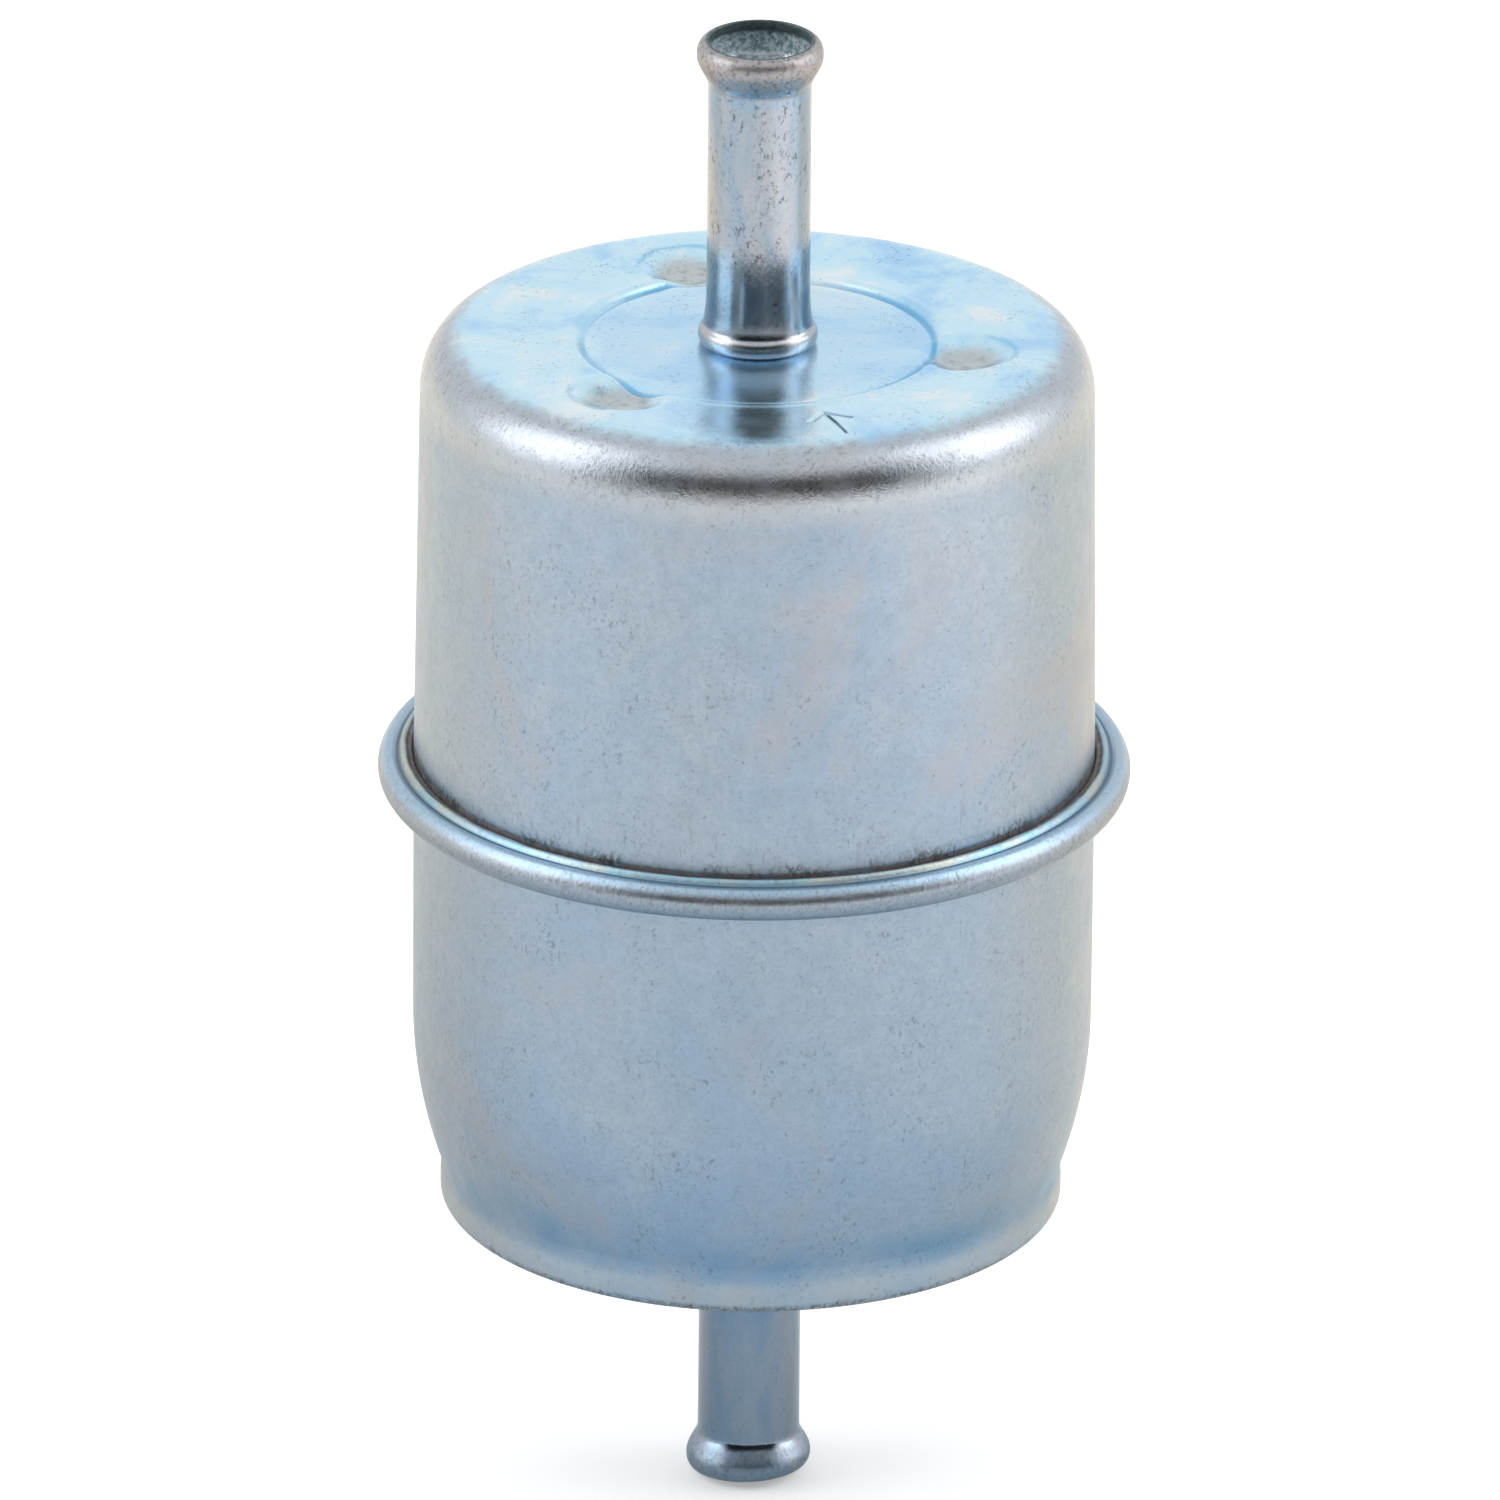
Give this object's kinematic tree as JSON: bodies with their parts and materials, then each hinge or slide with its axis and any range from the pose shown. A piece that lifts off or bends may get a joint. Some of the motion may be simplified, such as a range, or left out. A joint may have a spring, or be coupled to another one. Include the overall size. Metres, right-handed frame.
{
  "type": "in-line fuel filter",
  "caption": "Sealed in-line fuel filter: two drawn steel cups joined by a rolled seam, a beaded hose tube at each end, and a pleated paper element inside.",
  "frame": {"origin": "on the filter's axis, in the middle plane of the rolled seam, which is the middle of its length", "axes": "+Z along the axis towards the inlet tube's tip; +X and +Y across the body, with one of the three dimples near +X"},
  "size_m": [0.058, 0.058, 0.119],
  "materials": {
    "zinc_plate": "satin zinc plate with a clear blue passivation, scuffed along its edges",
    "zinc_tube": "bright zinc plate with a clear blue passivation, fine marks along the tube",
    "braze": "dull copper braze",
    "tinplate": "plain tinplate",
    "filter_paper": "resin-treated paper with fine fibres",
    "adhesive": "cured plastisol adhesive",
    "gasket_rubber": "matt nitrile rubber"
  },
  "bodies": {
    "root": {"inlet_shell": "zinc_plate", "outlet_shell": "zinc_plate", "inlet_tube": "zinc_tube", "outlet_tube": "zinc_tube", "inlet_braze_ring": "braze", "outlet_braze_ring": "braze", "seam_gasket": "gasket_rubber", "inlet_end_cap": "tinplate", "outlet_end_cap": "tinplate", "core_tube": "tinplate", "pleat_clip": "tinplate", "pleated_paper": "filter_paper", "inlet_potting": "adhesive", "outlet_potting": "adhesive", "outlet_seal": "gasket_rubber"}
  },
  "joints": []
}
